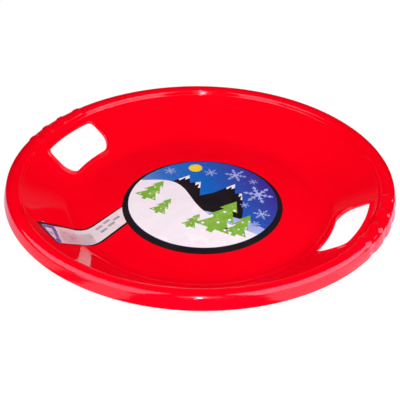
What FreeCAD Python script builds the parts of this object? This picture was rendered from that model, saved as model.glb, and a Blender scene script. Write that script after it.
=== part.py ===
import FreeCAD
import Part
import math
import os

# Saucer sled: one moulded dish with two hand holes, and two printed labels on its inside.
# Lengths are millimetres, angles are degrees.
# The origin is the centre of the flat base, +Z is up and +X points at one hand hole.

# Dish section, measured along its upper face from the middle outwards
outer_radius = 300.0
shell_thickness = 2.5
wall_band = 115.0
floor_bend_radius = 45.0
wall_angle = 39.5
rim_foot_radius = 3.0
rim_face_angle = 64.0
rim_face_length = 4.8
rim_shoulder_radius = 5.3
rim_shoulder_angle = 41.5
rim_crown_radius = 14.5
rim_crown_angle = 37.7
rim_edge_radius = 5.0
skirt_angle = 72.0
skirt_length = 13.5

# Hand holes, one at each end of the X axis, each with a rounded bead along its edge
hole_floor_clearance = 30.0
hole_rim_clearance = 7.5
hole_half_length = 61.2
hole_inner_corner = 22.0
hole_outer_corner = 12.0
hole_bead_radius = 3.0

# Finger grip on the rim outside each hand hole: ribs on top, notches below them in the skirt
grip_count = 4
grip_spacing_angle = 7.6
rib_width_angle = 2.4
rib_height = 1.6
rib_edge_radius = 1.5
notch_radius = 8.0
notch_depth = 1.2

# Round picture label, stuck on the floor a little off the middle
label_film = 0.3
label_gap = 0.3
picture_margin = 56.0
picture_shift_x = 5.6
picture_shift_y = -2.1

# Bent side label: a shank from the picture label to a heel, and a blade up the wall
side_label_angle = -118.5
heel_floor_clearance = 3.0
heel_shift = -9.1
heel_width = 43.6
heel_corner = 10.0
shank_angle = 20.6
shank_end_width = 38.4
blade_knee_share = 0.4
blade_knee_shift = -10.0
blade_knee_width = 49.0
blade_rim_clearance = 12.0
blade_tip_shift = 7.0
blade_tip_width = 59.0
blade_tip_slant = 7.0
blade_tip_corner = 3.0

# How far a cutting shape runs past what it cuts
overrun = 20.0

up = FreeCAD.Vector(0, 0, 1)
origin = FreeCAD.Vector(0, 0, 0)
quarter_turn = 90.0
half_turn = 180.0
full_turn = 360.0
arc_point_shares = (0, 0.5, 1)
upright_share = 0.99


def direction(angle):
    return FreeCAD.Vector(math.cos(math.radians(angle)), 0, math.sin(math.radians(angle)))


def arc_run(radius, start_angle, end_angle):
    return radius * abs(math.sin(math.radians(end_angle)) - math.sin(math.radians(start_angle)))


# The wall's straight part is what the bend and the rim leave of the band round the floor
bend_run = arc_run(floor_bend_radius, 0, wall_angle)
rim_run = (
    arc_run(rim_foot_radius, wall_angle, rim_face_angle)
    + rim_face_length * math.cos(math.radians(rim_face_angle))
    + arc_run(rim_shoulder_radius, rim_face_angle, rim_shoulder_angle)
    + arc_run(rim_crown_radius, rim_shoulder_angle, -rim_crown_angle)
    + arc_run(rim_edge_radius, rim_crown_angle, skirt_angle)
    + skirt_length * math.cos(math.radians(skirt_angle))
)
wall_run = wall_band - bend_run - rim_run
wall_length = wall_run / math.cos(math.radians(wall_angle))
floor_radius = outer_radius - wall_band

# A stretch is a line with its length, or an arc with its radius and its turn, upwards positive
bowl_stretches = [
    ("line", floor_radius, 0),
    ("arc", floor_bend_radius, wall_angle),
    ("line", wall_length, 0),
]
rim_face_stretches = [
    ("arc", rim_foot_radius, rim_face_angle - wall_angle),
    ("line", rim_face_length, 0),
]
rim_top_stretches = [
    ("arc", rim_shoulder_radius, rim_shoulder_angle - rim_face_angle),
    ("arc", rim_crown_radius, -rim_shoulder_angle - rim_crown_angle),
    ("arc", rim_edge_radius, rim_crown_angle - skirt_angle),
]
skirt_stretches = [("line", skirt_length, 0)]
floor_middle = FreeCAD.Vector(0, 0, shell_thickness)


def trace(stretches, start, angle, offset):
    """Edges that run beside a section line at an offset, then the line's own end and slope."""
    edges = []
    place = start
    for kind, size, turn in stretches:
        side = direction(angle + quarter_turn)
        if kind == "line":
            end = place + direction(angle) * size
            edges.append(Part.LineSegment(place + side * offset, end + side * offset).toShape())
        else:
            bend = math.copysign(size, turn)
            centre = place + side * bend
            points = []
            for share in arc_point_shares:
                outward = direction(angle + turn * share - quarter_turn)
                points.append(centre + outward * (bend - offset))
            edges.append(Part.Arc(*points).toShape())
            end = centre + direction(angle + turn - quarter_turn) * bend
        place = end
        angle = angle + turn
    return edges, place, angle


def band(stretches, start, angle, below, above):
    """Face between two lines that run beside a section line."""
    lower = trace(stretches, start, angle, below)[0]
    upper = trace(stretches, start, angle, above)[0]
    inner_side = Part.LineSegment(lower[0].firstVertex().Point, upper[0].firstVertex().Point)
    outer_side = Part.LineSegment(lower[-1].lastVertex().Point, upper[-1].lastVertex().Point)
    edges = lower + upper + [inner_side.toShape(), outer_side.toShape()]
    return Part.Face(Part.Wire(Part.__sortEdges__(edges)))


def turned(shape, angle):
    copy = shape.copy()
    copy.rotate(origin, up, angle)
    return copy


rim_foot, rim_foot_angle = trace(bowl_stretches, floor_middle, 0, 0)[1:]
rim_top, rim_top_angle = trace(rim_face_stretches, rim_foot, rim_foot_angle, 0)[1:]
prism_height = rim_top.z + rim_shoulder_radius + rim_crown_radius + overrun

# The holes and the labels keep their clearances to the floor's edge and the rim's foot
hole_inner_reach = floor_radius + hole_floor_clearance
hole_outer_reach = rim_foot.x - hole_rim_clearance
hole_middle_reach = (hole_inner_reach + hole_outer_reach) / 2
hole_corner_limit = hole_outer_reach - hole_middle_reach
picture_radius = floor_radius - picture_margin
heel_reach = floor_radius - heel_floor_clearance
blade_reach = rim_foot.x - blade_rim_clearance
knee_reach = heel_reach + (blade_reach - heel_reach) * blade_knee_share
shank_length = (heel_reach - picture_radius) / math.cos(math.radians(shank_angle)) + overrun


def upright_prism(points):
    return Part.Face(Part.makePolygon(points + points[:1])).extrude(up * prism_height)


def round_upright_edges(solid, radius, wanted):
    edges = []
    for edge in solid.Edges:
        upright = abs(edge.tangentAt(edge.FirstParameter).z) > upright_share
        if upright and wanted(edge.CenterOfMass):
            edges.append(edge)
    return solid.makeFillet(radius, edges)


def free_edges(shape):
    """Edges that belong to only one face of a shape."""
    found = []
    for edge in shape.Edges:
        uses = [other for face in shape.Faces for other in face.Edges if other.isSame(edge)]
        if len(uses) == 1:
            found.append(edge)
    return found


def hand_hole_prism():
    """Straight ends, and long edges that follow the floor and the rim."""
    far = hole_outer_reach + overrun
    prism = upright_prism([
        FreeCAD.Vector(0, -hole_half_length, 0),
        FreeCAD.Vector(far, -hole_half_length, 0),
        FreeCAD.Vector(far, hole_half_length, 0),
        FreeCAD.Vector(0, hole_half_length, 0),
    ])
    prism = prism.common(Part.makeCylinder(hole_outer_reach, prism_height))
    prism = prism.cut(Part.makeCylinder(hole_inner_reach, prism_height))
    inner_corner = min(hole_inner_corner, hole_corner_limit)
    outer_corner = min(hole_outer_corner, hole_corner_limit / 2)
    prism = round_upright_edges(prism, inner_corner, lambda place: place.x < hole_middle_reach)
    return round_upright_edges(prism, outer_corner, lambda place: place.x > hole_middle_reach)


def hand_hole_bead(prism):
    """Round bead along the edge that the hole cuts in the wall's upper face."""
    section = Part.Wire(trace(bowl_stretches, floor_middle, 0, 0)[0])
    upper_face = section.revolve(origin, up, full_turn)
    edge_line = Part.Wire(Part.__sortEdges__(free_edges(upper_face.common(prism))))
    first = edge_line.OrderedEdges[0]
    start = first.valueAt(first.FirstParameter)
    circle = Part.Circle(start, first.tangentAt(first.FirstParameter), hole_bead_radius)
    return edge_line.makePipeShell([Part.Wire(circle.toShape())], True, False)


def grip_rib():
    """One rib across the top of the rim, centred on the XZ plane."""
    section = band(rim_top_stretches, rim_top, rim_top_angle, -shell_thickness / 2, rib_height)
    rib = turned(section, -rib_width_angle / 2).revolve(origin, up, rib_width_angle)
    ridge = trace(rim_top_stretches, rim_top, rim_top_angle, rib_height)[0]
    middles = [edge.valueAt((edge.FirstParameter + edge.LastParameter) / 2) for edge in ridge]
    long_edges = []
    for side in (-rib_width_angle / 2, rib_width_angle / 2):
        for middle in middles:
            near = Part.Vertex(turned(Part.Vertex(middle), side).Point)
            long_edges.append(min(rib.Edges, key=lambda edge: edge.distToShape(near)[0]))
    return rib.makeFillet(rib_edge_radius, long_edges)


def grip_notch():
    """Cutter for the shallow notch in the skirt under one rib."""
    reach = outer_radius + notch_radius - notch_depth
    return Part.makeCylinder(notch_radius, prism_height, FreeCAD.Vector(reach, 0, 0))


def sled_shell():
    stretches = bowl_stretches + rim_face_stretches + rim_top_stretches + skirt_stretches
    shell = band(stretches, floor_middle, 0, -shell_thickness, 0).revolve(origin, up, full_turn)
    hole = hand_hole_prism()
    bead = hand_hole_bead(hole)
    rib = grip_rib()
    notch = grip_notch()
    for handle in (0, half_turn):
        shell = shell.cut(turned(hole, handle))
        shell = shell.fuse(turned(bead, handle))
        for place in range(grip_count):
            angle = handle + (place - (grip_count - 1) / 2) * grip_spacing_angle
            shell = shell.cut(turned(notch, angle))
            shell = shell.fuse(turned(rib, angle))
    return shell.removeSplitter()


def picture_label():
    place = FreeCAD.Vector(picture_shift_x, picture_shift_y, shell_thickness)
    return Part.makeCylinder(picture_radius, label_film, place)


def side_label_prism():
    """Upright prism over the side label, with the blade pointing along +X."""
    half_heel = FreeCAD.Vector(0, heel_width / 2, 0)
    half_knee = FreeCAD.Vector(0, blade_knee_width / 2, 0)
    half_tip = FreeCAD.Vector(-blade_tip_slant / 2, blade_tip_width / 2, 0)
    heel = FreeCAD.Vector(heel_reach, heel_shift, 0)
    knee = FreeCAD.Vector(knee_reach, blade_knee_shift, 0)
    tip = FreeCAD.Vector(blade_reach, blade_tip_shift, 0)
    along = turned(Part.Vertex(-shank_length, 0, 0), shank_angle).Point
    across = turned(Part.Vertex(0, shank_end_width / 2, 0), shank_angle).Point
    shank_end = heel + along
    prism = upright_prism([
        shank_end - across,
        heel - half_heel,
        knee - half_knee,
        tip - half_tip,
        tip + half_tip,
        knee + half_knee,
        heel + half_heel,
        shank_end + across,
    ])
    blade_middle = (heel_reach + blade_reach) / 2
    shank_middle = heel_reach - shank_length / 2
    prism = round_upright_edges(prism, blade_tip_corner, lambda place: place.x > blade_middle)
    return round_upright_edges(
        prism, heel_corner, lambda place: shank_middle < place.x < blade_middle
    )


def side_label():
    """Film that lies on the floor and bends up the wall, a small gap clear of the curved face."""
    flat_length = floor_radius - label_gap / math.sin(math.radians(wall_angle))
    stretches = [("line", flat_length, 0)] + bowl_stretches[1:]
    film = band(stretches, floor_middle, 0, 0, label_film).revolve(origin, up, full_turn)
    beside = Part.makeCylinder(
        picture_radius + label_gap, prism_height, FreeCAD.Vector(picture_shift_x, picture_shift_y, 0)
    )
    return film.common(turned(side_label_prism(), side_label_angle)).cut(beside)


os.makedirs("parts", exist_ok=True)
for make_node in (sled_shell, picture_label, side_label):
    node = make_node()
    print(make_node.__name__, len(node.Solids), "solid, valid", node.isValid(), round(node.Volume))
    node.exportStep("parts/" + make_node.__name__ + ".step")
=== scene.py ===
import bpy
import bmesh
import math
from mathutils import Matrix, Vector


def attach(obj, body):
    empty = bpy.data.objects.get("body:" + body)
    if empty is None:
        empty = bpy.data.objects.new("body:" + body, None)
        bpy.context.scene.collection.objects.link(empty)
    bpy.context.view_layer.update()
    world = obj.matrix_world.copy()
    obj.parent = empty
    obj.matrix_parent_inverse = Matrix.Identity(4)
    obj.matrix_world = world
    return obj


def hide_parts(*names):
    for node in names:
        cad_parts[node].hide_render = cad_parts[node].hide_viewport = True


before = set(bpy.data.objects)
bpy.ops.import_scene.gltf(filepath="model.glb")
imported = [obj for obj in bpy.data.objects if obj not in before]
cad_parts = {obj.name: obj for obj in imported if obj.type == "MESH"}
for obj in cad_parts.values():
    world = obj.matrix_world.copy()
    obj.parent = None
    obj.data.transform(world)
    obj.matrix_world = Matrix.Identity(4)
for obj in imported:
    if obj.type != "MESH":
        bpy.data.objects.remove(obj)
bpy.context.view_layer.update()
print("frame loaded")

mm = 0.001  # the sled is sized in mm, the stage and the lamps in metres
hair = 0.01  # points closer than this many mm count as one
viewTurn = math.radians(27.9)  # the photo looks along +Y turned by this


# small helpers for working as at the keyboard
def startFresh():
    if bpy.context.mode != "OBJECT":
        bpy.ops.object.mode_set(mode="OBJECT")
    bpy.ops.object.select_all(action="DESELECT")


def openMesh(piece):
    bpy.context.view_layer.objects.active = piece
    bpy.ops.object.mode_set(mode="EDIT")
    bpy.ops.mesh.select_mode(type="VERT")
    return bmesh.from_edit_mesh(piece.data)


def closeMesh(piece):
    bpy.ops.mesh.select_all(action="SELECT")
    bpy.ops.mesh.normals_make_consistent(inside=False)
    bpy.ops.object.mode_set(mode="OBJECT")


def pick(piece, wanted):
    bpy.ops.mesh.select_all(action="DESELECT")
    bm = bmesh.from_edit_mesh(piece.data)
    for vert in bm.verts:
        if wanted(vert):
            vert.select = True
    bm.select_flush_mode()
    bmesh.update_edit_mesh(piece.data)


def smoothStep(low, high, value):
    share = min(max((value - low) / (high - low), 0.0), 1.0)
    return share * share * (3 - 2 * share)


# materials
finish = {  # where on the noise the tint and the wear begin and end
    "cloudDetail": 4, "peelDetail": 2, "tintFrom": 0.35, "tintTo": 0.65, "wearFrom": 0.3, "wearTo": 0.7,
}


def link(tree, source, target):
    tree.links.new(source, target)


def glossMaterial(name, deep, pale, rough, grain, relief):
    material = bpy.data.materials.new(name)
    material.use_nodes = True
    tree = material.node_tree
    shader = tree.nodes["Principled BSDF"]
    place = tree.nodes.new("ShaderNodeTexCoord")
    cloud = tree.nodes.new("ShaderNodeTexNoise")
    cloud.inputs["Scale"].default_value = grain
    cloud.inputs["Detail"].default_value = finish["cloudDetail"]
    link(tree, place.outputs["Object"], cloud.inputs["Vector"])
    tint = tree.nodes.new("ShaderNodeValToRGB")
    tint.color_ramp.elements[0].position = finish["tintFrom"]
    tint.color_ramp.elements[0].color = (*deep, 1)
    tint.color_ramp.elements[1].position = finish["tintTo"]
    tint.color_ramp.elements[1].color = (*pale, 1)
    link(tree, cloud.outputs["Fac"], tint.inputs["Fac"])
    link(tree, tint.outputs["Color"], shader.inputs["Base Color"])
    wear = tree.nodes.new("ShaderNodeMapRange")
    wear.inputs["From Min"].default_value = finish["wearFrom"]
    wear.inputs["From Max"].default_value = finish["wearTo"]
    wear.inputs["To Min"].default_value = rough[0]
    wear.inputs["To Max"].default_value = rough[1]
    link(tree, cloud.outputs["Fac"], wear.inputs["Value"])
    link(tree, wear.outputs["Result"], shader.inputs["Roughness"])
    peel = tree.nodes.new("ShaderNodeTexNoise")
    peel.inputs["Scale"].default_value = relief["scale"]
    peel.inputs["Detail"].default_value = finish["peelDetail"]
    link(tree, place.outputs["Object"], peel.inputs["Vector"])
    bump = tree.nodes.new("ShaderNodeBump")
    bump.inputs["Strength"].default_value = relief["strength"]
    bump.inputs["Distance"].default_value = relief["depth"]
    link(tree, peel.outputs["Fac"], bump.inputs["Height"])
    link(tree, bump.outputs["Normal"], shader.inputs["Normal"])
    return material


plasticRelief = {"scale": 60, "strength": 0.15, "depth": 0.0006}
filmRelief = {"scale": 45, "strength": 0.1, "depth": 0.0004}
plasticRough, borderRough, inkRough, markRough = (0.035, 0.06), (0.16, 0.24), (0.2, 0.3), (0.25, 0.35)
plasticGrain, filmGrain, inkGrain, markGrain = 9, 30, 60, 90
redPlastic = glossMaterial(
    "redPlastic", (0.955, 0.0, 0.0092), (0.99, 0.0002, 0.0106), plasticRough, plasticGrain, plasticRelief,
)
blackFilm = glossMaterial(
    "blackFilm", (0.012, 0.009, 0.012), (0.018, 0.013, 0.017), borderRough, filmGrain, filmRelief,
)
whiteFilm = glossMaterial("whiteFilm", (0.91, 0.82, 0.89), (0.96, 0.87, 0.94), inkRough, filmGrain, filmRelief)
greenInk = glossMaterial("greenInk", (0.20, 0.42, 0.04), (0.26, 0.50, 0.06), inkRough, inkGrain, filmRelief)
lilacInk = glossMaterial("lilacInk", (0.36, 0.42, 0.80), (0.42, 0.48, 0.86), inkRough, inkGrain, filmRelief)
yellowInk = glossMaterial("yellowInk", (0.90, 0.60, 0.03), (0.95, 0.68, 0.05), inkRough, inkGrain, filmRelief)
blueInk = glossMaterial("blueInk", (0.05, 0.12, 0.45), (0.08, 0.18, 0.55), inkRough, inkGrain, filmRelief)
stripFilm = glossMaterial("stripFilm", (0.80, 0.64, 0.69), (0.86, 0.70, 0.75), inkRough, filmGrain, filmRelief)
paleInk = glossMaterial("paleInk", (0.58, 0.44, 0.48), (0.66, 0.50, 0.55), markRough, markGrain, filmRelief)
greyInk = glossMaterial("greyInk", (0.30, 0.28, 0.31), (0.36, 0.34, 0.37), markRough, markGrain, filmRelief)

# sky of the picture: lilac on one side, azure in the middle, indigo on the other
sky = {
    "turn": 20, "half": 0.12,  # way of the run in degrees, half its length in metres
    "stops": [
        (0.0, (0.30, 0.38, 0.76)), (0.35, (0.03, 0.17, 0.58)), (0.6, (0.0, 0.13, 0.57)),
        (1.0, (0.045, 0.025, 0.31)),
    ],
}
skyInk = glossMaterial("skyInk", sky["stops"][1][1], sky["stops"][1][1], inkRough, filmGrain, filmRelief)
tree = skyInk.node_tree
skyPlace = tree.nodes.new("ShaderNodeMapping")
skyPlace.inputs["Rotation"].default_value = (0, 0, -viewTurn - math.radians(sky["turn"]))
skyCoords = next(node for node in tree.nodes if node.type == "TEX_COORD")
link(tree, skyCoords.outputs["Object"], skyPlace.inputs["Vector"])
skyAxes = tree.nodes.new("ShaderNodeSeparateXYZ")
link(tree, skyPlace.outputs["Vector"], skyAxes.inputs["Vector"])
skyRun = tree.nodes.new("ShaderNodeMapRange")
skyRun.inputs["From Min"].default_value = -sky["half"]
skyRun.inputs["From Max"].default_value = sky["half"]
link(tree, skyAxes.outputs["X"], skyRun.inputs["Value"])
skyRamp = tree.nodes.new("ShaderNodeValToRGB")
skyRamp.color_ramp.elements[0].position = sky["stops"][0][0]
skyRamp.color_ramp.elements[1].position = sky["stops"][-1][0]
for stop in sky["stops"][1:-1]:
    skyRamp.color_ramp.elements.new(stop[0])
for element, stop in zip(skyRamp.color_ramp.elements, sky["stops"]):
    element.color = (*stop[1], 1)
link(tree, skyRun.outputs["Result"], skyRamp.inputs["Fac"])
link(tree, skyRamp.outputs["Color"], tree.nodes["Principled BSDF"].inputs["Base Color"])
print("materials ready")

# the dish: a section walked along its upper face, then spun
dish = {
    "outer": 300, "band": 115, "thick": 2.5, "hub": 60, "bend": 45, "wallAngle": 39.5, "foot": 3,
    "faceAngle": 64, "face": 4.8, "shoulder": 5.3, "shoulderAngle": 41.5, "crown": 14.5, "crownAngle": 37.7,
    "edge": 5, "skirtAngle": 72, "skirt": 13.5, "lipSteps": 6, "steps": 720,
}


def turnRun(radius, start, end):
    return radius * abs(math.sin(math.radians(end)) - math.sin(math.radians(start)))


floorRadius = dish["outer"] - dish["band"]
rimRun = (
    turnRun(dish["foot"], dish["wallAngle"], dish["faceAngle"])
    + dish["face"] * math.cos(math.radians(dish["faceAngle"]))
    + turnRun(dish["shoulder"], dish["faceAngle"], dish["shoulderAngle"])
    + turnRun(dish["crown"], dish["shoulderAngle"], -dish["crownAngle"])
    + turnRun(dish["edge"], dish["crownAngle"], dish["skirtAngle"])
    + dish["skirt"] * math.cos(math.radians(dish["skirtAngle"]))
)
wallRun = dish["band"] - turnRun(dish["bend"], 0, dish["wallAngle"]) - rimRun
wallLength = wallRun / math.cos(math.radians(dish["wallAngle"]))
stretches = [  # name, length or radius, turn, steps
    ("floor", floorRadius - dish["hub"], 0, 3),
    ("bend", dish["bend"], dish["wallAngle"], 10),
    ("wall", wallLength, 0, 8),
    ("foot", dish["foot"], dish["faceAngle"] - dish["wallAngle"], 4),
    ("face", dish["face"], 0, 2),
    ("shoulder", dish["shoulder"], dish["shoulderAngle"] - dish["faceAngle"], 4),
    ("crown", dish["crown"], -dish["shoulderAngle"] - dish["crownAngle"], 12),
    ("edge", dish["edge"], dish["crownAngle"] - dish["skirtAngle"], 4),
    ("skirt", dish["skirt"] - dish["thick"] / 2, 0, 3),
]


def heading(angle):
    return Vector((math.cos(math.radians(angle)), math.sin(math.radians(angle))))


rows = [{"at": Vector((dish["hub"], dish["thick"])), "slope": 0, "part": "floor", "share": 0}]
for part, size, turn, steps in stretches:
    begin, slope = rows[-1]["at"], rows[-1]["slope"]
    for step in range(1, steps + 1):
        share = step / steps
        if turn == 0:
            at = begin + heading(slope) * size * share
        else:
            bend = math.copysign(size, turn)
            centre = begin + heading(slope + 90) * bend
            at = centre + heading(slope + turn * share - 90) * bend
        rows.append({"at": at, "slope": slope + turn * share, "part": part, "share": share})
rowCount = len(rows)
lastUpper = rows[-1]
lipCentre = lastUpper["at"] - heading(lastUpper["slope"] + 90) * dish["thick"] / 2
section = [row["at"] for row in rows]
for step in range(1, dish["lipSteps"]):  # round lower edge of the skirt
    turn = lastUpper["slope"] + 90 - 180 * step / dish["lipSteps"]
    section.append(lipCentre + heading(turn) * dish["thick"] / 2)
lowerStart = len(section)
for row in reversed(rows):
    section.append(row["at"] - heading(row["slope"] + 90) * dish["thick"])

startFresh()
bpy.ops.mesh.primitive_plane_add(size=mm)
shell = bpy.context.object
shell.name = "sledShell"
bm = openMesh(shell)
bm.verts.layers.int.new("row")
bm.verts.layers.int.new("station")
bm.verts.ensure_lookup_table()
pick(shell, lambda vert: vert.index > 0)
bpy.ops.mesh.delete(type="VERT")
bm = bmesh.from_edit_mesh(shell.data)
bm.verts.ensure_lookup_table()
bm.verts[0].co = (section[0].x * mm, 0, section[0].y * mm)
bpy.ops.mesh.select_all(action="SELECT")
for here, there in zip(section, section[1:]):
    move = (there - here) * mm
    bpy.ops.mesh.extrude_region_move(TRANSFORM_OT_translate={"value": (move.x, 0, move.y)})
bm = bmesh.from_edit_mesh(shell.data)
rowLayer = bm.verts.layers.int["row"]
for vert in bm.verts:
    here = Vector((vert.co.x, vert.co.z)) / mm
    vert[rowLayer] = 1 + min(range(len(section)), key=lambda index: (section[index] - here).length)
bmesh.update_edit_mesh(shell.data)
bpy.ops.mesh.select_all(action="SELECT")
bpy.ops.mesh.spin(steps=dish["steps"], angle=2 * math.pi, center=(0, 0, 0), axis=(0, 0, 1))
bpy.ops.mesh.select_all(action="SELECT")
bpy.ops.mesh.remove_doubles(threshold=hair * mm)
for hubRow in (1, len(section)):
    bm = bmesh.from_edit_mesh(shell.data)
    rowLayer = bm.verts.layers.int["row"]
    pick(shell, lambda vert: vert[rowLayer] == hubRow)
    bpy.ops.mesh.edge_face_add()
print("dish spun", len(section), "rows")

# finger grips: ribs over the rim, and a hollow in the skirt under each
grip = {  # places and reaches in degrees round the dish
    "places": (-11.4, -3.8, 3.8, 11.4), "flat": 0.55, "foot": 1.7, "rib": 1.6, "edgeStart": 0.1,
    "hollow": 1.3, "hollowReach": 2.2, "fadeRows": 3,
}
bm = bmesh.from_edit_mesh(shell.data)
rowLayer = bm.verts.layers.int["row"]
for vert in bm.verts:
    index = vert[rowLayer] - 1
    around = math.degrees(math.atan2(vert.co.y, vert.co.x))
    offset = min(
        abs((around - handle + 180) % 360 - 180 - place) for handle in (0, 180) for place in grip["places"]
    )
    if offset > grip["hollowReach"]:
        continue
    outward = Vector((vert.co.x, vert.co.y, 0)).normalized()
    if index < rowCount:
        row = rows[index]
        lift = 0
        if row["part"] in ("shoulder", "crown"):
            lift = smoothStep(0, 1, row["share"]) if row["part"] == "shoulder" else 1
        if row["part"] == "edge":
            lift = 1 - smoothStep(grip["edgeStart"], 1, row["share"])
        lift *= smoothStep(grip["foot"], grip["flat"], offset)
        up = heading(row["slope"] + 90) * grip["rib"] * lift * mm
        vert.co += outward * up.x + Vector((0, 0, up.y))
    low = 0
    if index >= rowCount - grip["fadeRows"]:
        low = min(1, (index - rowCount + grip["fadeRows"] + 1) / grip["fadeRows"])
        if index >= lowerStart:
            low = max(0, 1 - (index - lowerStart) / grip["fadeRows"])
    vert.co -= outward * grip["hollow"] * low * smoothStep(grip["hollowReach"], 0, offset) * mm
bmesh.update_edit_mesh(shell.data)
print("grips raised")

# hand holes: a window cut in both faces, filled by loops that run over a rounded bead
hole = {
    "floorGap": 30, "rimGap": 7.5, "half": 61.2, "innerCorner": 22, "outerCorner": 12, "bead": 3,
    "beadEnd": 300, "fillet": 2.5, "windowAngle": 20, "windowShare": 0.3, "stepSlack": 0.1,
    "wallShares": (0.4, 0.75), "lowerShare": 0.5, "bowSteps": 24, "cornerSteps": 12, "filletSteps": 4,
    "beadSteps": 14,
}
holeInner = floorRadius + hole["floorGap"]
holeOuter = dish["outer"] - rimRun - hole["rimGap"]
wallEnd = max(index for index, row in enumerate(rows) if row["part"] == "wall")
windowRow = min(
    index for index, row in enumerate(rows) if row["part"] == "bend" and row["share"] > hole["windowShare"]
)
bendCentre = Vector((floorRadius, dish["thick"] + dish["bend"]))


def faceHeight(radius, depth):  # height of the dish's face, a depth below the upper one
    turn = dish["bend"] + depth
    run = radius - floorRadius
    if run <= 0:
        return dish["thick"] - depth
    if run < turn * math.sin(math.radians(dish["wallAngle"])):
        return bendCentre.y - math.sqrt(turn * turn - run * run)
    bendEnd = bendCentre + heading(dish["wallAngle"] - 90) * turn
    return bendEnd.y + (radius - bendEnd.x) * math.tan(math.radians(dish["wallAngle"]))


def faceSlope(radius):
    run = (radius - floorRadius) / dish["bend"]
    return min(math.degrees(math.asin(min(max(run, 0), 1))), dish["wallAngle"])


def arcPoints(centre, radius, start, end, steps):
    return [centre + heading(start + (end - start) * step / steps) * radius for step in range(steps + 1)]


def resample(path, count):  # evenly spaced points from the first towards the last
    spans = [(b - a).length for a, b in zip(path, path[1:])]
    total = sum(spans)
    found = []
    for step in range(count):
        want = total * step / count
        for a, b, span in zip(path, path[1:], spans):
            if want <= span:
                found.append(a.lerp(b, want / span if span else 0))
                break
            want -= span
    return found


innerTurn = Vector((0, hole["half"] - hole["innerCorner"]))
innerTurn.x = math.sqrt((holeInner + hole["innerCorner"]) ** 2 - innerTurn.y ** 2)
innerAngle = math.degrees(math.atan2(innerTurn.y, innerTurn.x))
outerTurn = Vector((0, hole["half"] - hole["outerCorner"]))
outerTurn.x = math.sqrt((holeOuter - hole["outerCorner"]) ** 2 - outerTurn.y ** 2)
outerAngle = math.degrees(math.atan2(outerTurn.y, outerTurn.x))
innerMiddle = (270 + innerAngle) / 2
innerBow = arcPoints(Vector((0, 0)), holeInner, 0, innerAngle, hole["bowSteps"]) + arcPoints(
    innerTurn, hole["innerCorner"], 180 + innerAngle, innerMiddle, hole["cornerSteps"]
)
outerMiddle = (90 + outerAngle) / 2
endSide = arcPoints(innerTurn, hole["innerCorner"], innerMiddle, 90, hole["cornerSteps"]) + arcPoints(
    outerTurn, hole["outerCorner"], 90, outerMiddle, hole["cornerSteps"]
)
outerBow = arcPoints(outerTurn, hole["outerCorner"], outerMiddle, outerAngle, hole["cornerSteps"]) + arcPoints(
    Vector((0, 0)), holeOuter, outerAngle, 0, hole["bowSteps"]
)


def flip(path):
    return [Vector((point.x, -point.y)) for point in reversed(path)]


angleSteps = round(2 * hole["windowAngle"] * dish["steps"] / 360)
rowSteps = wallEnd - windowRow
outline = (
    resample(flip(innerBow) + innerBow, angleSteps)
    + resample(endSide, rowSteps)
    + resample(outerBow + flip(outerBow), angleSteps)
    + resample(flip(endSide), rowSteps)
)
stationCount = len(outline)


def stationOf(angleStep, row):  # place of a window border point in the loop, or none
    if row == windowRow and angleStep < angleSteps:
        return angleStep
    if angleStep == angleSteps and row < wallEnd:
        return angleSteps + row - windowRow
    if row == wallEnd and angleStep > 0:
        return angleSteps + rowSteps + angleSteps - angleStep
    if angleStep == 0 and row > windowRow:
        return 2 * angleSteps + rowSteps + wallEnd - row
    return None


def onFace(point, depth):
    return Vector((point.x, point.y, faceHeight(point.length, depth)))


edgeLine = [onFace(point, 0) for point in outline]
holeMiddle = Vector(((holeInner + holeOuter) / 2, 0, 0))


def beadPoint(station, side, rise):
    at = edgeLine[station]
    along = (edgeLine[(station + 1) % stationCount] - edgeLine[station - 1]).normalized()
    radius = Vector((at.x, at.y)).length
    slope = math.radians(faceSlope(radius))
    normal = Vector((-math.sin(slope) * at.x / radius, -math.sin(slope) * at.y / radius, math.cos(slope)))
    across = along.cross(normal)
    if across.dot(at - holeMiddle) < 0:
        across.negate()
    return at + across * side + normal * rise


filletSide = math.sqrt((hole["bead"] + hole["fillet"]) ** 2 - hole["fillet"] ** 2)
filletAngle = math.degrees(math.atan2(hole["fillet"], filletSide))
filletCentre = Vector((filletSide, hole["fillet"]))
beadSection = arcPoints(filletCentre, hole["fillet"], 270, 180 + filletAngle, hole["filletSteps"])[:-1]
beadSection += arcPoints(Vector((0, 0)), hole["bead"], filletAngle, hole["beadEnd"], hole["beadSteps"])
beadSection.append(Vector((filletSide, -dish["thick"])))


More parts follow.
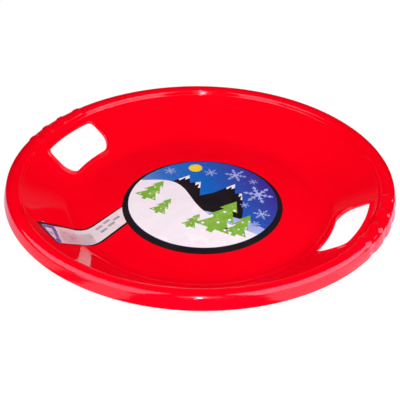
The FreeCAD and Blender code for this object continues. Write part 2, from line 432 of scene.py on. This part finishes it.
def cutHole(turn):
    spin = Matrix.Rotation(turn, 3, "Z")
    back = Matrix.Rotation(-turn, 3, "Z")
    stepAngle = 2 * math.pi / dish["steps"]
    borders = []
    for depth in (0, 1):
        bm = bmesh.from_edit_mesh(shell.data)
        rowLayer = bm.verts.layers.int["row"]
        stationLayer = bm.verts.layers.int["station"]
        border = {}

        def cell(vert):
            index = vert[rowLayer] - 1
            row = index if depth == 0 else len(section) - 1 - index
            at = back @ vert.co
            step = math.atan2(at.y, at.x) / stepAngle + angleSteps / 2
            inside = windowRow <= row <= wallEnd and -hole["stepSlack"] < step < angleSteps + hole["stepSlack"]
            return (round(step), row) if inside else None

        bpy.ops.mesh.select_all(action="DESELECT")
        for face in bm.faces:
            if all(cell(vert) for vert in face.verts):
                face.select = True
        for vert in bm.verts:
            place = cell(vert)
            station = stationOf(*place) if place else None
            if station is not None:
                vert[stationLayer] = station + 1 + depth * stationCount
                border[station] = vert.co.copy()
        bmesh.update_edit_mesh(shell.data)
        bpy.ops.mesh.select_mode(type="FACE")
        bpy.ops.mesh.delete(type="FACE")
        bpy.ops.mesh.select_mode(type="VERT")
        borders.append(border)
    loops = []
    for share in hole["wallShares"]:  # along the wall from the window towards the bead
        loop = []
        for station in range(stationCount):
            start = back @ (borders[0][station] / mm)
            end = beadPoint(station, filletSide, 0)
            loop.append(onFace(Vector((start.x, start.y)).lerp(Vector((end.x, end.y)), share), 0))
        loops.append(loop)
    for spot in beadSection:
        loops.append([beadPoint(station, spot.x, spot.y) for station in range(stationCount)])
    lower = []
    for station in range(stationCount):
        start = loops[-1][station]
        end = back @ (borders[1][station] / mm)
        between = Vector((start.x, start.y)).lerp(Vector((end.x, end.y)), hole["lowerShare"])
        lower.append(onFace(between, dish["thick"]))
    loops.append(lower)
    loops.append([back @ (borders[1][station] / mm) for station in range(stationCount)])
    bm = bmesh.from_edit_mesh(shell.data)
    stationLayer = bm.verts.layers.int["station"]
    pick(shell, lambda vert: 0 < vert[stationLayer] <= stationCount)
    for loop in loops:
        bpy.ops.mesh.extrude_edges_move()
        bm = bmesh.from_edit_mesh(shell.data)
        stationLayer = bm.verts.layers.int["station"]
        for vert in bm.verts:
            if vert.select:
                vert.co = spin @ (loop[vert[stationLayer] - 1] * mm)
        bmesh.update_edit_mesh(shell.data)
    bpy.ops.mesh.select_all(action="SELECT")
    bpy.ops.mesh.remove_doubles(threshold=hair * mm)
    bm = bmesh.from_edit_mesh(shell.data)
    stationLayer = bm.verts.layers.int["station"]
    for vert in bm.verts:
        vert[stationLayer] = 0
    bmesh.update_edit_mesh(shell.data)


cutHole(0)
cutHole(math.pi)
closeMesh(shell)
bpy.ops.object.shade_smooth()
shell.data.materials.append(redPlastic)
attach(shell, "root")
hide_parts("sled_shell")
print("hand holes cut", len(shell.data.polygons), "faces")

# round label: film with a dark border round the picture
label = {
    "radius": 129.0, "film": 0.3, "bevel": 0.12, "shift": (5.6, -2.1), "pictureRadius": 120.7,
    "pictureShift": (3.2, 3.5), "points": 256,
}
startFresh()
bpy.ops.mesh.primitive_circle_add(
    vertices=label["points"], radius=label["radius"] * mm, fill_type="NGON",
    location=(label["shift"][0] * mm, label["shift"][1] * mm, dish["thick"] * mm),
)
pictureLabel = bpy.context.object
pictureLabel.name = "pictureLabel"
bpy.ops.object.transform_apply(location=True, rotation=False, scale=False)
openMesh(pictureLabel)
bpy.ops.mesh.select_all(action="SELECT")
bpy.ops.mesh.extrude_region_move(TRANSFORM_OT_translate={"value": (0, 0, label["film"] * mm)})
filmTop = dish["thick"] + label["film"]
bpy.ops.mesh.bevel(offset=label["bevel"] * mm, segments=2, affect="EDGES")
pick(pictureLabel, lambda vert: vert.co.z > (filmTop - hair) * mm)
bpy.ops.mesh.inset(thickness=(label["radius"] - label["bevel"] - label["pictureRadius"]) * mm, depth=0)
pictureMove = (Vector(label["pictureShift"]) - Vector(label["shift"])) * mm
bpy.ops.transform.translate(value=(pictureMove.x, pictureMove.y, 0))
pictureLabel.data.materials.append(blackFilm)
pictureLabel.data.materials.append(skyInk)
bm = bmesh.from_edit_mesh(pictureLabel.data)
for face in bm.faces:
    face.material_index = 1 if face.select else 0
bmesh.update_edit_mesh(pictureLabel.data)
closeMesh(pictureLabel)
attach(pictureLabel, "root")
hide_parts("picture_label")
print("round label laid")


# thin printed films: an outline filled, cut fine where it has to bend, laid on the dish and thickened
def sheet(name, outline, material):
    startFresh()
    bpy.ops.mesh.primitive_circle_add(vertices=len(outline), radius=mm, fill_type="NGON")
    piece = bpy.context.object
    piece.name = name
    piece.data.materials.append(material)
    bm = openMesh(piece)
    for vert, point in zip(bm.verts, outline):
        vert.co = (point.x * mm, point.y * mm, 0)
    bm.normal_update()
    bpy.ops.mesh.select_all(action="SELECT")
    if next(iter(bm.faces)).normal.z < 0:
        bpy.ops.mesh.flip_normals()
    return piece


def layDown(piece, lift, film, cuts=1):
    for axis in (0, 1):
        places = [vert.co[axis] for vert in bmesh.from_edit_mesh(piece.data).verts]
        for step in range(1, cuts):
            spot = [0, 0, 0]
            spot[axis] = min(places) + (max(places) - min(places)) * step / cuts
            bpy.ops.mesh.select_all(action="SELECT")
            bpy.ops.mesh.bisect(plane_co=spot, plane_no=[float(index == axis) for index in range(3)])
    for vert in bmesh.from_edit_mesh(piece.data).verts:
        vert.co.z = faceHeight(math.hypot(vert.co.x, vert.co.y) / mm, -lift) * mm
    bmesh.update_edit_mesh(piece.data)
    bpy.ops.object.mode_set(mode="OBJECT")
    thick = piece.modifiers.new("film", "SOLIDIFY")
    thick.thickness = film * mm
    thick.offset = 1
    bpy.ops.object.modifier_apply(modifier="film")
    return piece


def joined(name, pieces):
    startFresh()
    for piece in pieces:
        piece.select_set(True)
    bpy.context.view_layer.objects.active = pieces[0]
    bpy.ops.object.join()
    pieces[0].name = name
    return pieces[0]


# the picture: a winter evening with mountains, snow hills, pines, a moon and snow crystals
picture = {"radius": 120.4, "turn": -30, "layer": 0.02, "film": 0.015, "hillSteps": 60, "crystalTurn": 15}
pictureCentre = Vector(label["pictureShift"])
pictureSpin = Matrix.Rotation(viewTurn + math.radians(picture["turn"]), 2)
prints = []


def stamp(name, points, layer, material):
    outline = [pictureCentre + pictureSpin @ Vector(point) for point in points]
    piece = sheet(name, outline, material)
    prints.append(layDown(piece, label["film"] + picture["layer"] * layer, picture["film"]))


def hillSide(crest):  # from a crest line down to the edge of the picture
    radius, steps = picture["radius"], picture["hillSteps"]
    acrosses = [radius * (step / steps - 1) for step in range(2 * steps + 1)]
    top = [Vector((across, crest(across))) for across in acrosses]
    top = [point for point in top if point.length < radius]
    start = math.atan2(top[-1].y, top[-1].x)
    sweep = (start - math.atan2(top[0].y, top[0].x)) % (2 * math.pi)
    turns = [start - sweep * step / steps for step in range(steps + 1)]
    return top + [Vector((math.cos(turn), math.sin(turn))) * radius for turn in turns]


def disc(centre, radius, steps):
    return arcPoints(Vector(centre), radius, 0, 360 - 360 / steps, steps - 1)


ridge = [
    (-113, -32), (-92, 12), (-82, 4), (-58, 54), (-45, 34), (-31, 46), (-12, 10), (3, 28), (22, 70), (35, 45),
    (45, 51), (70, 6), (86, -32),
]
snowCaps = [(1, 0.3), (3, 0.4), (5, 0.45), (8, 0.4), (10, 0.35)]  # point of the ridge, share that is white
capFrill = [(0.25, -5), (0.5, 4), (0.75, -6)]  # share across the cap, rise
stamp("mountains", ridge, 1, blackFilm)
for peak, snow in snowCaps:
    before, top, after = (Vector(ridge[peak + step]) for step in (-1, 0, 1))
    left, right = top.lerp(before, snow), top.lerp(after, snow)
    frill = [right.lerp(left, share) + Vector((0, rise)) for share, rise in capFrill]
    stamp("snowCap", [top, right, *frill, left], 2, whiteFilm)

farHill = {"level": -27, "rise": 14, "crest": 84, "wave": 52}
nearHill = {"level": -34, "rise": 56, "crest": -70, "wave": 66}


def farCrest(across):
    return farHill["level"] + farHill["rise"] * math.cos((across - farHill["crest"]) / farHill["wave"])


def nearCrest(across):
    share = (across - nearHill["crest"]) / nearHill["wave"]
    return nearHill["level"] + nearHill["rise"] * math.exp(-(share ** 2))


stamp("farHill", hillSide(farCrest), 2, lilacInk)
stamp("nearHill", hillSide(nearCrest), 3, whiteFilm)

pine = {  # foot and height of each, the snow on it as shares of the height
    "stands": [((48, -66), 92), ((84, -56), 60), ((-86, -46), 62), ((-47, -68), 46), ((14, -74), 40)],
    "flake": 0.028, "flakePoints": 12,
}
pineHalf = [(0, 1), (0.17, 0.7), (0.08, 0.7), (0.25, 0.41), (0.12, 0.41), (0.33, 0.1), (0.06, 0.1), (0.06, 0)]
pineSnow = [(0.1, 0.74), (-0.03, 0.62), (0.15, 0.46), (-0.17, 0.42), (0.02, 0.3), (0.22, 0.17), (-0.2, 0.16)]
pineShape = pineHalf + [(-across, up) for across, up in reversed(pineHalf[1:])]
for foot, tall in pine["stands"]:
    stamp("pine", [Vector(foot) + Vector(point) * tall for point in pineShape], 4, greenInk)
    for spot in pineSnow:
        flake = disc(Vector(foot) + Vector(spot) * tall, tall * pine["flake"], pine["flakePoints"])
        stamp("pineSnow", flake, 5, whiteFilm)

armHalf = [  # along the arm and across it, as shares of its reach
    (0.17, -0.098), (0.34, -0.045), (0.5, -0.19), (0.57, -0.14), (0.47, -0.045), (0.68, -0.045), (0.8, -0.16),
    (0.86, -0.11), (0.8, -0.045), (0.95, -0.06), (1, 0),
]


def crystal(centre, reach):
    arm = armHalf + [(along, -across) for along, across in reversed(armHalf[1:-1])]
    points = []
    for turn in range(6):
        spin = Matrix.Rotation(math.radians(60 * turn + picture["crystalTurn"]), 2)
        points += [Vector(centre) + spin @ Vector(point) * reach for point in arm]
    return points


crystals = [  # middle, reach
    ((69, 62), 25), ((10, 95), 19), ((98, 16), 14), ((-31, 80), 12), ((-94, 48), 11), ((64, 24), 8),
    ((45, 92), 8), ((101, -12), 8),
]
moon = {"at": (-61, 79), "radius": 12, "points": 40}
for centre, reach in crystals:
    stamp("snowCrystal", crystal(centre, reach), 2, lilacInk)
stamp("moon", disc(moon["at"], moon["radius"], moon["points"]), 2, yellowInk)
picturePrint = joined("picturePrint", prints)
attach(picturePrint, "root")
print("picture printed")

# side label: a strip from the round label across the floor and up the wall
strip = {
    "angle": -118.5, "shankAngle": 20.6, "shankWidth": 38.4, "shank": 76.6, "heel": (182, -9.1),
    "heelWidth": 43.6, "knee": (213, -10), "kneeWidth": 49, "tip": (259.5, 7), "tipWidth": 59, "tipSlant": 7,
    "rounds": (9, 9, 3, 3, 9, 9), "roundSteps": 5, "endSteps": 10, "gap": 0.3, "lift": 0.08, "film": 0.22,
    "layer": 0.03, "cuts": 70, "markCuts": 20, "barCuts": 6,
}
stripSpin = Matrix.Rotation(math.radians(strip["angle"]), 2)
heel = Vector(strip["heel"])
shankRun = heading(strip["shankAngle"])
shankAcross = heading(strip["shankAngle"] + 90) * strip["shankWidth"] / 2
shankEnd = heel - shankRun * strip["shank"]
upperSide, lowerSide = [shankEnd - shankAcross], [shankEnd + shankAcross]
for part, lean in (("heel", 0), ("knee", 0), ("tip", strip["tipSlant"])):
    half = Vector((-lean / 2, strip[part + "Width"] / 2))
    upperSide.append(Vector(strip[part]) - half)
    lowerSide.append(Vector(strip[part]) + half)
besideCentre = stripSpin.transposed() @ Vector(label["shift"])
besideRadius = label["radius"] + strip["gap"]


def meetLabel(start, end):  # where a line first comes to the round label
    run = (end - start).normalized()
    back = start - besideCentre
    half = back.dot(run)
    return start + run * (-half - math.sqrt(half * half - back.length_squared + besideRadius * besideRadius))


def roundedCorner(before, corner, after, length):
    start = corner + (before - corner).normalized() * length
    end = corner + (after - corner).normalized() * length
    shares = [step / strip["roundSteps"] for step in range(strip["roundSteps"] + 1)]
    return [start.lerp(corner, share).lerp(corner.lerp(end, share), share) for share in shares]


def stripShape(drawIn):  # outline of the strip, each corner drawn in from the edge
    path = [corner + Vector(shift) for corner, shift in zip(upperSide + lowerSide[::-1], drawIn)]
    path[0], path[-1] = meetLabel(path[1], path[0]), meetLabel(path[-2], path[-1])
    outline = []
    for before, corner, after, length in zip(path, path[1:], path[2:], strip["rounds"]):
        outline += roundedCorner(before, corner, after, length)
    turns = [math.degrees(math.atan2(*(path[end] - besideCentre).yx)) for end in (-1, 0)]
    return outline + arcPoints(besideCentre, besideRadius, *turns, strip["endSteps"])


marks = []


def mark(name, points, layer, film, material, cuts=strip["markCuts"]):
    piece = sheet(name, [stripSpin @ Vector(point) for point in points], material)
    marks.append(layDown(piece, strip["lift"] + layer, film, cuts))


printLayers = [strip["film"] + strip["layer"] * step for step in range(1, 5)]
inkFilm = strip["layer"] / 2
fieldIn = [  # how far each corner of the pale field is drawn in from the strip's own
    (-0.8, 2.2), (0, 3.4), (0, 5.0), (-4.2, 6.2), (-3.2, -3.8), (0, -2.3), (0.6, -3.8), (1.6, -4.2),
]
tipField = [(238.7, -21.6), (258.4, -15.8), (252.6, 31.8), (246.6, 28.6), (243.3, 8.4), (239.8, -8.9)]
tipLozenge = [(245.5, -12), (254.5, -11), (255, 5), (252, 22), (249, 15), (246.8, 0)]
tipCrystal = {"at": (250.8, 3), "reach": 5.5}
panel = [(186, -17.5), (232, -18), (236, -8), (239.6, 9), (242, 24.2), (213, 11), (187, 8)]
bar = {  # places from the heel, along the shank and across it, and one bar's outline
    "places": [(-17, -8.5), (-17, 2), (-35, -10), (-35, 0.5), (-51, -4)],
    "shape": [(-6, -2.2), (6, -2.2), (7, 0), (6, 2.2), (-6, 2.2), (-7, 0)],
}
mark("sideLabel", stripShape([(0, 0)] * len(fieldIn)), 0, strip["film"], blackFilm, strip["cuts"])
mark("field", stripShape(fieldIn), printLayers[0], inkFilm, stripFilm, strip["cuts"])
mark("tipField", tipField, printLayers[1], inkFilm, blueInk)
mark("tipLozenge", tipLozenge, printLayers[2], inkFilm, stripFilm)
mark("tipCrystal", crystal(tipCrystal["at"], tipCrystal["reach"]), printLayers[3], inkFilm, blueInk)
mark("panel", panel, printLayers[1], inkFilm, paleInk)
shankSide = shankAcross.normalized()
for along, side in bar["places"]:
    middle = heel + shankRun * along + shankSide * side
    points = [middle + shankRun * run + shankSide * across for run, across in bar["shape"]]
    mark("bar", points, printLayers[1], inkFilm, greyInk, strip["barCuts"])
sideLabel = joined("sideLabel", marks)
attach(sideLabel, "root")
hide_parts("side_label")
print("side label laid")

# camera where the photo was taken
shot = {  # focal length and frame in pixels of the photo
    "far": 1045, "elevation": 34.98, "roll": 0.826, "aim": (-0.2, 7.2, 0), "focal": 640.5, "frame": 400,
    "sensor": 36,
}
turnView = Matrix.Rotation(viewTurn, 3, "Z")
rise = math.radians(shot["elevation"])
away = Vector((0, math.cos(rise), -math.sin(rise)))
cameraData = bpy.data.cameras.new("photoCamera")
cameraData.sensor_width = shot["sensor"]
cameraData.lens = shot["focal"] / shot["frame"] * shot["sensor"]
camera = bpy.data.objects.new("photoCamera", cameraData)
bpy.context.scene.collection.objects.link(camera)
spot = turnView @ (Vector(shot["aim"]) - away * shot["far"]) * mm
level = (turnView @ away).to_track_quat("-Z", "Y").to_matrix()
facing = level @ Matrix.Rotation(math.radians(shot["roll"]), 3, "Z")
camera.matrix_world = Matrix.Translation(spot) @ facing.to_4x4()
bpy.context.scene.camera = camera
print("camera set")

# white floor under the sled, and how bright it is round the sled when seen in the gloss
stage = {
    "side": 3.0, "back": 4.0, "front": 2.0, "drop": 0.0002, "tone": 0.12, "lift": 0.93, "tint": (1, 1, 1.3),
}
startFresh()
bpy.ops.mesh.primitive_plane_add(size=1)
floor = bpy.context.object
floor.name = "whiteFloor"
bm = openMesh(floor)
for vert in bm.verts:
    across = math.copysign(stage["side"], vert.co.x)
    deep = stage["back"] if vert.co.y > 0 else -stage["front"]
    vert.co = turnView @ Vector((across, deep, -stage["drop"]))
bmesh.update_edit_mesh(floor.data)
closeMesh(floor)
floorPaper = bpy.data.materials.new("floorPaper")
floorPaper.use_nodes = True
tree = floorPaper.node_tree
tree.nodes.remove(tree.nodes["Principled BSDF"])
paper = tree.nodes.new("ShaderNodeBsdfDiffuse")
paper.inputs["Color"].default_value = (stage["tone"], stage["tone"], stage["tone"], 1)
glow = tree.nodes.new("ShaderNodeEmission")
glow.inputs["Strength"].default_value = stage["lift"]
both = tree.nodes.new("ShaderNodeAddShader")
link(tree, paper.outputs["BSDF"], both.inputs[0])
link(tree, glow.outputs["Emission"], both.inputs[1])
place = tree.nodes.new("ShaderNodeTexCoord")
swing = tree.nodes.new("ShaderNodeMapping")
swing.inputs["Rotation"].default_value = (0, 0, math.radians(90) - viewTurn)
link(tree, place.outputs["Object"], swing.inputs["Vector"])
around = tree.nodes.new("ShaderNodeTexGradient")
around.gradient_type = "RADIAL"
link(tree, swing.outputs["Vector"], around.inputs["Vector"])
roundStops = [  # degrees to the right of the camera, brightness
    (-115, 0.03), (-104, 0.7), (-55.5, 0.64), (-52.5, 0.04), (-44.5, 0.04), (-42.5, 0.95), (-27.5, 0.95),
    (-25.5, 0.0), (26, 0.0), (28.5, 1.15), (50, 1.2), (59, 1.5), (66, 1.2), (74, 1.0), (104, 0.85),
    (115, 0.03),
]
gleam = tree.nodes.new("ShaderNodeValToRGB")
gleamStops = gleam.color_ramp.elements
gleamStops[0].position = 0.5 + roundStops[0][0] / 360
gleamStops[1].position = 0.5 + roundStops[-1][0] / 360
for stop in roundStops[1:-1]:
    gleamStops.new(0.5 + stop[0] / 360)
for element, stop in zip(gleamStops, roundStops):
    element.color = (*(stop[1] * share for share in stage["tint"]), 1)
link(tree, around.outputs["Fac"], gleam.inputs["Fac"])
shine = tree.nodes.new("ShaderNodeEmission")
link(tree, gleam.outputs["Color"], shine.inputs["Color"])
rays = tree.nodes.new("ShaderNodeLightPath")
seen = tree.nodes.new("ShaderNodeMixShader")
link(tree, rays.outputs["Is Glossy Ray"], seen.inputs["Fac"])
link(tree, both.outputs["Shader"], seen.inputs[1])
link(tree, shine.outputs["Emission"], seen.inputs[2])
link(tree, seen.outputs["Shader"], tree.nodes["Material Output"].inputs["Surface"])
floor.data.materials.append(floorPaper)

# world: white to the camera, an even fill for the colours, dark in the gloss
studio = {"fill": 0.5}
world = bpy.data.worlds.new("studio")
world.use_nodes = True
bpy.context.scene.world = world
tree = world.node_tree
fill = tree.nodes["Background"]
rays = tree.nodes.new("ShaderNodeLightPath")
dull = tree.nodes.new("ShaderNodeMath")
dull.operation = "SUBTRACT"
dull.inputs[0].default_value = 1
link(tree, rays.outputs["Is Glossy Ray"], dull.inputs[1])
amount = tree.nodes.new("ShaderNodeMath")
amount.operation = "MULTIPLY"
amount.inputs[1].default_value = studio["fill"]
link(tree, dull.outputs["Value"], amount.inputs[0])
fill.inputs["Color"].default_value = (1, 1, 1, 1)
link(tree, amount.outputs["Value"], fill.inputs["Strength"])
white = tree.nodes.new("ShaderNodeBackground")
white.inputs["Color"].default_value = (1, 1, 1, 1)
choose = tree.nodes.new("ShaderNodeMixShader")
link(tree, rays.outputs["Is Camera Ray"], choose.inputs["Fac"])
link(tree, fill.outputs["Background"], choose.inputs[1])
link(tree, white.outputs["Background"], choose.inputs[2])
link(tree, choose.outputs["Shader"], tree.nodes["World Output"].inputs["Surface"])


# lamps: each is there for the gloss or for the colours alone, at its own distance from the sled
lampFar = {"gloss": 1.6, "colour": 1.2}


def areaLamp(name, size, place, facing, radiance, forGloss=True):  # place and facing as seen from the camera
    data = bpy.data.lights.new(name, "AREA")
    data.shape = "RECTANGLE"
    data.size, data.size_y = size
    data.color = stage["tint"] if forGloss else (1, 1, 1)
    data.energy = radiance * math.pi * size[0] * size[1]
    lamp = bpy.data.objects.new(name, data)
    bpy.context.scene.collection.objects.link(lamp)
    lamp.matrix_world = Matrix.Translation(turnView @ place) @ (turnView @ facing).to_4x4()
    lamp.visible_camera = False
    lamp.visible_diffuse = not forGloss
    lamp.visible_glossy = forGloss


def sightLamp(name, size, azimuth, elevation, radiance, forGloss=True):  # a lamp that faces the sled
    side, up = math.radians(azimuth), math.radians(elevation)
    toward = Vector((math.sin(side) * math.cos(up), -math.cos(side) * math.cos(up), math.sin(up)))
    facing = toward.to_track_quat("Z", "Y").to_matrix()
    areaLamp(name, size, toward * lampFar["gloss" if forGloss else "colour"], facing, radiance, forGloss)


softBox = {  # one over each side, brighter in the middle
    "place": (0.957, -0.296, 0.8), "turn": 60, "outer": (1.4, 0.95), "inner": (1.1, 0.65), "edgeShare": 0.45,
    "left": 5.0, "right": 6.6,
}
for side, radiance in ((-1, softBox["left"]), (1, softBox["right"])):
    across, deep, high = softBox["place"]
    place = Vector((across * side, deep, high))
    facing = Matrix.Rotation(math.radians(90 - softBox["turn"] * side), 3, "Z")
    areaLamp("softBoxEdge", softBox["outer"], place, facing, radiance * softBox["edgeShare"])
    areaLamp("softBoxMiddle", softBox["inner"], place, facing, radiance * (1 - softBox["edgeShare"]))

sidePanel = {  # width, azimuth and radiance of each
    "tall": 1.04, "elevation": 18, "left": (0.74, -45, 1.0), "right": (1.6, 60, 1.2),
}
for side in ("left", "right"):
    wide, azimuth, radiance = sidePanel[side]
    sightLamp(side + "Panel", (wide, sidePanel["tall"]), azimuth, sidePanel["elevation"], radiance)

backPanel = {  # behind the sled, dimmer towards the top: top edge in degrees, radiance added below it
    "azimuth": 163, "wide": 0.8, "leftShare": 1.4,
    "steps": [(18, 0.02), (15.5, 0.035), (12.5, 0.035), (8, 0.045)],
}
for top, radiance in backPanel["steps"]:
    size = (backPanel["wide"], 2 * lampFar["gloss"] * math.tan(math.radians(top / 2)))
    sightLamp("backRight", size, backPanel["azimuth"], top / 2, radiance)
    sightLamp("backLeft", size, -backPanel["azimuth"], top / 2, radiance * backPanel["leftShare"])

glints = [  # over the camera: height, azimuth, elevation, then widths and radiances of the spark and its glow
    (0.36, 0.5, 62, [(0.045, 70), (0.16, 5), (0.4, 1.4)]),
    (0.06, -1.5, 32.9, [(0.06, 40), (0.3, 1.5)]),
]
for tall, azimuth, elevation, glows in glints:
    for wide, radiance in glows:
        sightLamp("glint", (wide, tall), azimuth, elevation, radiance)

colourLamp = {"size": (0.6, 0.6), "front": (0, 30, 7.0), "top": (25, 60, 4.1)}  # azimuth, elevation, radiance
for side in ("front", "top"):
    sightLamp(side + "Colour", colourLamp["size"], *colourLamp[side], False)

view = bpy.context.scene.view_settings
view.view_transform = "Standard"
print("light set")
